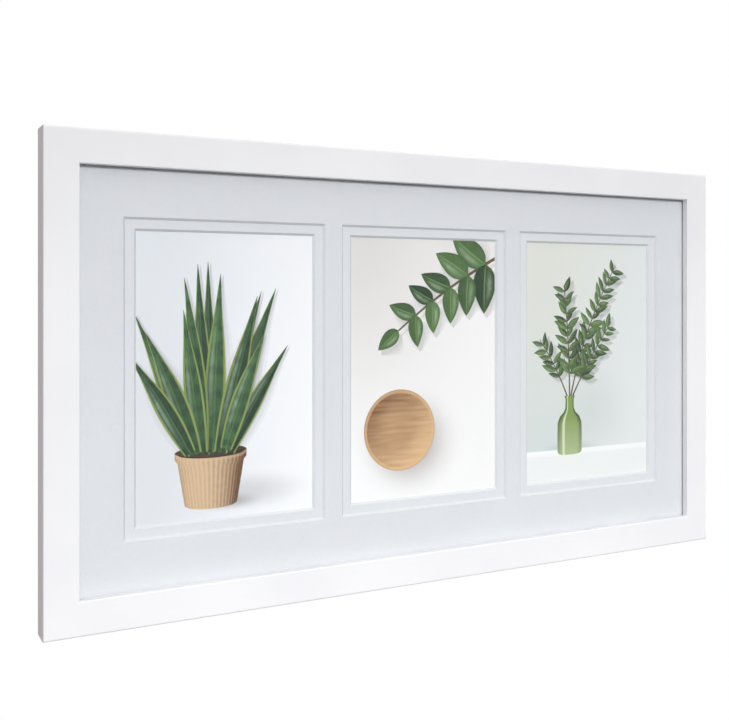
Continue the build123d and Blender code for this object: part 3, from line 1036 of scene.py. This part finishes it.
BACKDROP_INKS = {
    "pale_wall": backdrop_ink(
        "pale_wall_ink", srgb(222, 224, 228), srgb(226, 230, 235), srgb(245, 246, 249),
        (
            Spot(0.25, -0.80, 0.75, 0.16, 0.40, srgb(150, 150, 154)),
            Spot(0.0, -0.86, 0.45, 0.07, 0.55, srgb(110, 106, 106)),
        )),
    "tabletop": backdrop_ink(
        "tabletop_ink", srgb(247, 247, 247), srgb(225, 221, 219), srgb(245, 244, 244),
        (
            Spot(-0.20, -0.56, 0.74, 0.46, 0.65, srgb(150, 138, 130)),
            Spot(-0.26, -0.52, 0.58, 0.38, 0.45, srgb(110, 96, 88)),
            Spot(0.70, 0.85, 1.00, 0.55, 0.30, srgb(206, 198, 192)),
        )),
    "grey_green_wall": backdrop_ink(
        "grey_green_wall_ink", srgb(210, 218, 217), srgb(224, 225, 217), srgb(226, 231, 230),
        (
            Spot(0.10, -0.40, 0.70, 0.50, 0.25, srgb(180, 190, 186)),
            Spot(-0.28, -0.73, 0.55, 0.10, 0.50, srgb(140, 150, 140)),
        ),
        ledge=(-0.72, srgb(236, 239, 238), srgb(245, 247, 246))),
}
INKS |= BACKDROP_INKS
print("backdrop inks:", ", ".join(BACKDROP_INKS))

# %% [markdown]
# ## The three pictures
# The prints show plain house plants, drawn from a few rules. Sizes are in millimetres from the middle of
# each print. Every draw of chance has a fixed seed, so the pictures never change.
# On the left, sword leaves fan out of a fluted pot. Leaves in an even fan would look stamped, so each one's
# base, angle and length stray from it by chance. The longest go down first and the pot's wall last, so the
# short ones stand in front and the pot hides their feet.

# %% Left picture
SHEET_LOW, SHEET_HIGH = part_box("photo_left")
HALF_WIDTH = (SHEET_HIGH.x - SHEET_LOW.x) / 2 / MM
HALF_HEIGHT = (SHEET_HIGH.z - SHEET_LOW.z) / 2 / MM
PAPER_BACK = fibrous(
    "photo_paper", srgb(238, 238, 236), srgb(248, 248, 247), srgb(230, 230, 228),
    strand=0.3 * MM, roughness=0.6, relief=0.01 * MM)


def sword_plant():
    draw = random.Random(11)
    pot_middle = -9
    pot_rim = -39
    pot_tilt = 0.17
    pot_profile = [(-66, 14.0), (-58, 15.4), (-50, 16.8), (-44, 17.8), (-42.5, 19.2), (pot_rim, 19.4)]
    rim_width = pot_profile[-1][1]
    soil_drop = 0.9
    blade_count = 13
    drop = Vector((1.3, -0.6))
    mouth = disc(Vector((pot_middle, pot_rim)), rim_width, rim_width * pot_tilt)
    soil = disc(Vector((pot_middle, pot_rim - soil_drop)), rim_width * 0.86, rim_width * 0.12)
    layers = [backdrop("pale_wall", HALF_WIDTH, HALF_HEIGHT)]
    layers.append(layer_of_rows(mouth, "pot_inside"))
    layers.append(layer_of_rows(soil, "soil"))
    blades = []
    for number in range(blade_count):
        fan = 2 * number / (blade_count - 1) - 1
        base = Vector((pot_middle + 11 * fan + draw.uniform(-1.5, 1.5), pot_rim - draw.uniform(-1.0, 1.2)))
        angle = math.radians(90 - 24 * fan + draw.uniform(-5, 5))
        length = 98 - 34 * fan * fan + draw.uniform(-16, 8)
        blades.append((length, base, angle, draw.uniform(4.3, 6.0), -0.05 * fan + draw.uniform(-0.05, 0.05)))
    for length, base, angle, half_width, bend in sorted(blades, reverse=True):
        tone = draw.uniform(0.1, 1.0)
        add_blade(layers, "sword_leaf", base, angle, length, half_width, bend, sword, tone, drop)
    layers.append(layer_of_rows(round_wall(pot_middle, pot_profile, pot_tilt), "fluted_pot"))
    return layers


print_mesh("photo_left", sword_plant(), INKS, PAPER_BACK)

# %% [markdown]
# In the middle, a sprig of broad leaves comes in from the top right, beside a wooden bowl seen from above.
# The leaves sit in pairs along the stem and get shorter towards its tip, where one more leaf ends it. They
# hang well over the tabletop, so their shadows fall further off than those of the sword leaves.

# %% Centre picture
def sprig_and_bowl():
    draw = random.Random(5)
    bowl = Vector((-17, -35))
    bowl_radius = 23
    stem_base = Vector((54, 66))
    stem_angle = math.radians(205)
    stem_length = 84
    stem_bend = 0.12
    drop = Vector((2.0, -2.6))
    stem = blade(stem_base, stem_angle, stem_length, 1.0, stem_bend, even)
    shadow = blade(stem_base + drop, stem_angle, stem_length, 1.4, stem_bend, even)
    layers = [backdrop("tabletop", HALF_WIDTH, HALF_HEIGHT)]
    layers.append(layer_of_rows(disc(bowl, bowl_radius, bowl_radius), "bowl"))
    layers.append(layer_of_rows(shadow, None, shade=0.86))
    layers.append(layer_of_rows(stem, "twig", 0.6))
    for step in range(2, 12, 2):
        at, heading = midrib_at(stem, step)
        for side in (-1, 1):
            angle = heading + side * math.radians(draw.uniform(46, 62))
            length = (30 - 1.3 * step) * draw.uniform(0.92, 1.08)
            tone = draw.uniform(0.0, 0.9)
            bend = side * draw.uniform(-0.05, 0.14)
            add_blade(layers, "broad_leaf", at, angle, length, length * 0.27, bend, ovate, tone, drop)
    end = stem[-1][1][0]
    add_blade(layers, "broad_leaf", end, heading, 17, 4.6, 0.05, ovate, 0.6, drop)
    return layers


print_mesh("photo_centre", sprig_and_bowl(), INKS, PAPER_BACK)

# %% [markdown]
# On the right, four branches stand in a green bottle on a ledge. Each bends its own way and has a pair of
# small leaves at every step, with chance in their angles, sizes and greens. Some forty pairs are too many to
# place by hand, and a rule places them in a few lines.

# %% Right picture
def branch_in_bottle():
    draw = random.Random(23)
    middle = -15
    foot = -57
    outline = (
        (0, 8.6), (1.2, 9.4), (10, 9.6), (19, 9.4), (23, 7.6),
        (25.5, 4.6), (28, 3.3), (34, 3.1), (34.6, 3.8), (36, 3.8),
    )
    profile = [(foot + height, half_width) for height, half_width in outline]
    in_the_neck = Vector((middle, profile[-1][0] - 5))
    branches = ((78, 92, -0.20), (112, 46, 0.14), (62, 60, -0.10), (90, 74, 0.06))
    leaf_spacing = 4.5
    first_leaf = 4
    drop = Vector((2.6, -2.2))
    layers = [backdrop("grey_green_wall", HALF_WIDTH, HALF_HEIGHT)]
    for degrees, length, bend in branches:
        steps = round(length / leaf_spacing)
        stem = blade(in_the_neck, math.radians(degrees), length, 0.55, bend, even, steps)
        layers.append(layer_of_rows(stem, "twig", 0.4))
        for step in range(first_leaf, steps):
            at, heading = midrib_at(stem, step)
            for side in (-1, 1):
                angle = heading + side * math.radians(draw.uniform(28, 68))
                size = draw.uniform(9.5, 14.5) * (1 - 0.25 * step / steps)
                half_width = size * draw.uniform(0.15, 0.20)
                tone = draw.random() ** 1.3
                leaf_bend = draw.uniform(-0.14, 0.14)
                add_blade(
                    layers, "olive_leaf", at, angle, size, half_width, leaf_bend, lance, tone, drop,
                    steps=8)
    layers.append(layer_of_rows(round_wall(middle, profile, 0.12), "bottle"))
    return layers


print_mesh("photo_right", branch_in_bottle(), INKS, PAPER_BACK)

# %% [markdown]
# ## Metal and rubber on the back
# Turn buttons are stamped from sheet and enamelled black, the hangers are nickel plated, the screws are zinc
# plated, and the bumpers are soft grey rubber. Such hardware is handled a few times and then hangs behind
# the frame, so it has hairline scratches and dull spots but no edges worn bare. All the metal shares one
# wear group, with its own amounts.

# %% Metal and rubber
PLATE_GRAIN = 2500
RUBBER_GRAIN = 3000
RUBBER_TONE = 300


def worn_metal(name, base, bare, metallic, roughness, scratches):
    material, tree, shader = new_material(name, Metallic=metallic)
    place = object_place(tree)
    inputs = {"Place": place, "Amount": scratches}
    wear = node(tree, "ShaderNodeGroup", inputs, node_tree=HANDLED_WEAR).outputs
    plug(tree, shader.inputs["Base Color"], tinted(tree, base, bare, wear["Scratch"], 0.7))
    dulled = calc(tree, "MULTIPLY_ADD", wear["Dull"], 0.18, roughness)
    plug(tree, shader.inputs["Roughness"], calc(tree, "MULTIPLY_ADD", wear["Scratch"], 0.1, dulled))
    raised(tree, shader, cloudy(tree, place, PLATE_GRAIN, 2), 0.008 * MM)
    return material


def soft_rubber():
    material, tree, shader = new_material("soft_rubber", Specular_IOR_Level=0.35)
    place = object_place(tree)
    grain = cloudy(tree, place, RUBBER_GRAIN, 2)
    tone = cloudy(tree, place, RUBBER_TONE, 2)
    plug(tree, shader.inputs["Base Color"], mixed(tree, tone, srgb(58, 58, 60), srgb(78, 78, 80)))
    plug(tree, shader.inputs["Roughness"], spread(tree, grain, 0.5, 0.7))
    raised(tree, shader, grain, 0.02 * MM)
    return material


BLACK_ENAMEL = worn_metal(
    "black_enamel", srgb(30, 30, 32), srgb(92, 92, 94), metallic=0.0, roughness=0.34, scratches=0.45)
NICKEL = worn_metal(
    "nickel_plate", srgb(196, 192, 184), srgb(150, 146, 140), metallic=1.0, roughness=0.22, scratches=0.4)
ZINC = worn_metal(
    "zinc_plate", srgb(188, 192, 196), srgb(140, 142, 146), metallic=1.0, roughness=0.3, scratches=0.5)
RUBBER = soft_rubber()
dress(ZINC, "corner_v_nails")

# %% [markdown]
# ## Soft edges on stamped pieces
# No stamped or moulded edge is razor sharp, and it is the highlight on the edge that makes metal look
# like metal. The CAD solids are right apart from that, so a copy is merged into whole faces and its hard
# edges get a small bevel. The copy then stands for the solid. A turn button also gets a hair of air
# under it, because it has to slide over the timber.

# %% Soften the stamped and moulded pieces
BUTTON_BEVEL = 0.15 * MM
STRAP_BEVEL = 0.1 * MM
BUMPER_BEVEL = 0.25 * MM
RUNNING_GAP = 0.03 * MM
MERGE_DISTANCE = 0.001 * MM
SAME_FACE = math.radians(0.5)
HARD_EDGE = math.radians(40)
SMOOTH_BELOW = math.radians(32)


def merged_copy(name):
    """A copy of a CAD node's loose triangles, joined at their corners."""
    bm = bmesh.new()
    bm.from_mesh(nodes[name].data)
    bmesh.ops.remove_doubles(bm, verts=bm.verts, dist=MERGE_DISTANCE)
    return bm


def softened(name, bevel, material, body, lift=0.0):
    """A bevelled copy that stands for a CAD node. Lift trims it by that much where it lies on the timber."""
    bm = merged_copy(name)
    bmesh.ops.dissolve_limit(bm, angle_limit=SAME_FACE, verts=bm.verts, edges=bm.edges)
    underside = min(vert.co.y for vert in bm.verts) + lift
    for vert in bm.verts:
        vert.co.y = max(vert.co.y, underside)
    hard = [edge for edge in bm.edges if len(edge.link_faces) == 2 and edge.calc_face_angle() > HARD_EDGE]
    bmesh.ops.bevel(bm, geom=hard, offset=bevel, segments=2, profile=0.5, affect="EDGES", clamp_overlap=True)
    mesh = bpy.data.meshes.new(name + "_softened")
    bm.to_mesh(mesh)
    bm.free()
    mesh.materials.append(material)
    mesh.shade_smooth()
    mesh.set_sharp_from_angle(angle=SMOOTH_BELOW)
    piece = bpy.data.objects.new(name + "_softened", mesh)
    scene.collection.objects.link(piece)
    stand_in(piece, name, body)
    print(f"{piece.name}: {len(hard)} edges softened, {len(mesh.polygons)} faces")


buttons = [name for name in nodes if name.startswith("turn_button_") and name != "turn_button_screws"]
for button in sorted(buttons):
    softened(button, BUTTON_BEVEL, BLACK_ENAMEL, button, RUNNING_GAP)
for side in ("left", "right"):
    softened(f"hanger_strap_{side}", STRAP_BEVEL, NICKEL, "frame")
softened("wall_bumpers", BUMPER_BEVEL, RUBBER, "frame")

# %% [markdown]
# ## Pieces by Geometry Nodes
# Screws repeat, and the wire of a ring follows a path. Both could be modelled by hand and copied, but a node
# tree keeps their sizes as named inputs and does the copying. A tree is built from the same helpers as a
# material. It ends in real meshes, because bare instances would be lost on export.

# %% Geometry tree helpers
def new_geometry_tree(name, sizes, seeded):
    """A tree with named sizes, a material and perhaps a seed as its inputs, and its two ends."""
    tree = bpy.data.node_groups.new(name, "GeometryNodeTree")
    tree.interface.new_socket(name="Geometry", in_out="INPUT", socket_type="NodeSocketGeometry")
    for label, value in sizes:
        socket = tree.interface.new_socket(name=label, in_out="INPUT", socket_type="NodeSocketFloat")
        socket.default_value = value
    if seeded:
        tree.interface.new_socket(name="Seed", in_out="INPUT", socket_type="NodeSocketInt")
    tree.interface.new_socket(name="Material", in_out="INPUT", socket_type="NodeSocketMaterial")
    tree.interface.new_socket(name="Geometry", in_out="OUTPUT", socket_type="NodeSocketGeometry")
    return tree, tree.nodes.new("NodeGroupInput").outputs, tree.nodes.new("NodeGroupOutput").inputs


def end_geometry_tree(tree, geometry, given, result):
    """Real meshes, smooth but for their hard edges, with their material."""
    real = node(tree, "GeometryNodeRealizeInstances", {"Geometry": geometry}).outputs[0]
    angle = node(tree, "GeometryNodeInputMeshEdgeAngle").outputs["Unsigned Angle"]
    hard = calc(tree, "GREATER_THAN", angle, SMOOTH_BELOW)
    inputs = {"Geometry": real, "Selection": hard, "Shade Smooth": False}
    creased = node(tree, "GeometryNodeSetShadeSmooth", inputs, domain="EDGE").outputs[0]
    inputs = {"Geometry": creased, "Material": given["Material"]}
    plug(tree, result["Geometry"], node(tree, "GeometryNodeSetMaterial", inputs).outputs[0])


def point_places(tree):
    """The x, y and z of every point of the geometry that the values are used on."""
    position = node(tree, "GeometryNodeInputPosition").outputs[0]
    return node(tree, "ShaderNodeSeparateXYZ", {0: position}).outputs


def straight_up(tree, height):
    return node(tree, "ShaderNodeCombineXYZ", {"Z": height}).outputs[0]


def moved(tree, geometry, translation, rotation=(0, 0, 0)):
    placing = {"Geometry": geometry, "Translation": translation, "Rotation": rotation}
    return node(tree, "GeometryNodeTransform", placing).outputs[0]


# %% [markdown]
# A tree works as a modifier on a mesh of bare points. Its inputs are set before Blender evaluates the object
# for the first time. Then the result is copied into a plain mesh and the modifier goes, so that what rides
# on a body later is finished.

# %% Grow a piece
def set_inputs(modifier, values):
    """Sets a Geometry Nodes modifier's inputs, looked up by name and set by identifier."""
    for item in modifier.node_group.interface.items_tree:
        if item.item_type == "SOCKET" and item.in_out == "INPUT" and item.name in values:
            modifier[item.identifier] = values[item.name]


def grown(name, points, tree, values):
    """A plain mesh piece, grown on the given points by a Geometry Nodes tree."""
    seed_mesh = bpy.data.meshes.new(name)
    seed_mesh.from_pydata(points, [], [])
    piece = bpy.data.objects.new(name, seed_mesh)
    scene.collection.objects.link(piece)
    modifier = piece.modifiers.new("grow", "NODES")
    modifier.node_group = tree
    set_inputs(modifier, values)
    graph = bpy.context.evaluated_depsgraph_get()
    piece.data = bpy.data.meshes.new_from_object(piece.evaluated_get(graph))
    piece.modifiers.clear()
    print(f"{name}: {len(piece.data.polygons)} faces on {len(points)} points")
    return piece


# %% [markdown]
# ## Screws
# Eight pan-head screws hold the buttons and straps. One node tree makes a screw from named sizes and puts a
# copy on each point, turned by chance as screws end up. The head is a cylinder whose top is pulled down
# into a dome by a formula, and a cross is cut out of it. The cross is turned a little against the head,
# because a cut that runs exactly along the edges of a mesh can leave it open.

# %% Screw tree
HEAD_HEIGHT = 1.6 * MM
CROSS_TURN = 0.07


def screw_head(tree, given):
    """A domed head that stands on the origin, with a cross cut into its top."""
    shape = {"Vertices": 40, "Side Segments": 1, "Fill Segments": 6}
    shape |= {"Radius": given["Head Radius"], "Depth": given["Head Height"]}
    head = node(tree, "GeometryNodeMeshCylinder", shape).outputs["Mesh"]
    x, y, z = point_places(tree)
    reach_squared = calc(tree, "ADD", calc(tree, "MULTIPLY", x, x), calc(tree, "MULTIPLY", y, y))
    radius_squared = calc(tree, "MULTIPLY", given["Head Radius"], given["Head Radius"])
    share = calc(tree, "DIVIDE", reach_squared, radius_squared)
    on_top = calc(tree, "GREATER_THAN", z, 0.0)
    lowered = calc(tree, "MULTIPLY", calc(tree, "MULTIPLY", share, given["Dome Drop"]), on_top)
    down = straight_up(tree, calc(tree, "MULTIPLY", lowered, -1.0))
    domed = node(tree, "GeometryNodeSetPosition", {"Geometry": head, "Offset": down}).outputs[0]
    domed = moved(tree, domed, straight_up(tree, calc(tree, "MULTIPLY", given["Head Height"], 0.5)))
    cross = node(tree, "GeometryNodeMeshBoolean", operation="UNION", solver="EXACT")
    top = straight_up(tree, given["Head Height"])
    depth = calc(tree, "MULTIPLY", given["Cross Depth"], 2.0)
    for first, second in (("Cross Length", "Cross Width"), ("Cross Width", "Cross Length")):
        sides = {"X": given[first], "Y": given[second], "Z": depth}
        size = node(tree, "ShaderNodeCombineXYZ", sides).outputs[0]
        arm = node(tree, "GeometryNodeMeshCube", {"Size": size}).outputs["Mesh"]
        tree.links.new(moved(tree, arm, top, (0, 0, CROSS_TURN)), cross.inputs["Mesh 2"])
    cut = node(tree, "GeometryNodeMeshBoolean", {"Mesh 1": domed}, operation="DIFFERENCE", solver="EXACT")
    tree.links.new(cross.outputs[0], cut.inputs["Mesh 2"])
    return cut.outputs[0]


def screw_tree():
    sizes = (
        ("Head Radius", 2.8 * MM), ("Head Height", HEAD_HEIGHT), ("Dome Drop", 1.0 * MM),
        ("Shank Radius", 1.4 * MM), ("Shank Length", 7.0 * MM),
        ("Cross Length", 3.0 * MM), ("Cross Width", 0.75 * MM), ("Cross Depth", 0.9 * MM),
    )
    tree, given, result = new_geometry_tree("pan_head_screws", sizes, seeded=True)
    shape = {"Vertices": 16, "Radius": given["Shank Radius"], "Depth": given["Shank Length"]}
    shank = node(tree, "GeometryNodeMeshCylinder", shape).outputs["Mesh"]
    shank = moved(tree, shank, straight_up(tree, calc(tree, "MULTIPLY", given["Shank Length"], -0.5)))
    screw = node(tree, "GeometryNodeJoinGeometry")
    for part in (shank, screw_head(tree, given)):
        tree.links.new(part, screw.inputs[0])
    turn = node(tree, "FunctionNodeRandomValue", {"Seed": given["Seed"]}, data_type="FLOAT")
    turn.inputs[3].default_value = math.pi
    spin = node(tree, "ShaderNodeCombineXYZ", {"X": -math.pi / 2, "Y": turn.outputs[1]}).outputs[0]
    placing = {"Points": given["Geometry"], "Instance": screw.outputs[0], "Rotation": spin}
    placed = node(tree, "GeometryNodeInstanceOnPoints", placing).outputs[0]
    end_geometry_tree(tree, placed, given, result)
    return tree


SCREWS = screw_tree()
print("tree:", SCREWS.name)

# %% [markdown]
# The places of the screws needn't be written down again, because the CAD model has them. Each of its two
# nodes holds several separate screws. Walking from corner to corner along the edges finds all the points of
# one, and its box says where the head sits.

# %% Place the screws
def screw_seats(node_name, head_height):
    """The point under each head of a group of screws, from the separate solids of its CAD node."""
    bm = merged_copy(node_name)
    left = set(bm.verts)
    seats = []
    while left:
        solid = {left.pop()}
        waiting = list(solid)
        while waiting:
            here = waiting.pop()
            for link in here.link_edges:
                other = link.other_vert(here)
                if other in left:
                    left.discard(other)
                    solid.add(other)
                    waiting.append(other)
        low = [min(vert.co[axis] for vert in solid) for axis in range(3)]
        high = [max(vert.co[axis] for vert in solid) for axis in range(3)]
        seats.append(((low[0] + high[0]) / 2, high[1] - head_height, (low[2] + high[2]) / 2))
    bm.free()
    return sorted(seats)


for seed, screws in enumerate(("turn_button_screws", "hanger_screws")):
    values = {"Head Height": HEAD_HEIGHT, "Seed": seed, "Material": ZINC}
    piece = grown(screws + "_cross_headed", screw_seats(screws, HEAD_HEIGHT), SCREWS, values)
    stand_in(piece, screws, "frame")

# %% [markdown]
# ## Wire rings
# A D-ring is a bent wire: a rectangle whose corners are rounded, tight at the bar that the strap holds and
# wide at the loop. A curve with filleted corners says that directly, and a circle swept along it is the
# wire.

# %% Wire rings
def ring_tree():
    sizes = (
        ("Width", 10.4 * MM), ("Height", 11.5 * MM), ("Wire Radius", 0.8 * MM),
        ("Loop Fillet", 4.6 * MM), ("Bar Fillet", 1.6 * MM),
    )
    tree, given, result = new_geometry_tree("wire_ring", sizes, seeded=False)
    shape = {"Width": given["Width"], "Height": given["Height"]}
    rectangle = node(tree, "GeometryNodeCurvePrimitiveQuadrilateral", shape, mode="RECTANGLE").outputs[0]
    upper = calc(tree, "GREATER_THAN", point_places(tree)["Y"], 0.0)
    difference = calc(tree, "SUBTRACT", given["Loop Fillet"], given["Bar Fillet"])
    radius = calc(tree, "MULTIPLY_ADD", upper, difference, given["Bar Fillet"])
    filleting = {"Curve": rectangle, "Radius": radius, "Count": 14, "Limit Radius": True}
    rounded = node(tree, "GeometryNodeFilletCurve", filleting, mode="POLY").outputs[0]
    circle = {"Resolution": 20, "Radius": given["Wire Radius"]}
    section = node(tree, "GeometryNodeCurvePrimitiveCircle", circle).outputs[0]
    wire = node(tree, "GeometryNodeCurveToMesh", {"Curve": rounded, "Profile Curve": section}).outputs[0]
    half_up = straight_up(tree, calc(tree, "MULTIPLY", given["Height"], 0.5))
    upright = moved(tree, wire, half_up, (math.pi / 2, 0, 0))
    placing = {"Points": given["Geometry"], "Instance": upright}
    placed = node(tree, "GeometryNodeInstanceOnPoints", placing).outputs[0]
    end_geometry_tree(tree, placed, given, result)
    return tree


RINGS = ring_tree()
for side in ("left", "right"):
    name = f"hanger_ring_{side}"
    low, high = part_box(name)
    wire_radius = (high.y - low.y) / 2
    bar = ((low.x + high.x) / 2, (low.y + high.y) / 2, low.z + wire_radius)
    values = {
        "Width": high.x - low.x - 2 * wire_radius,
        "Height": high.z - low.z - 2 * wire_radius,
        "Wire Radius": wire_radius,
        "Material": NICKEL,
    }
    piece = grown(name + "_wire", [bar], RINGS, values)
    stand_in(piece, name, name)
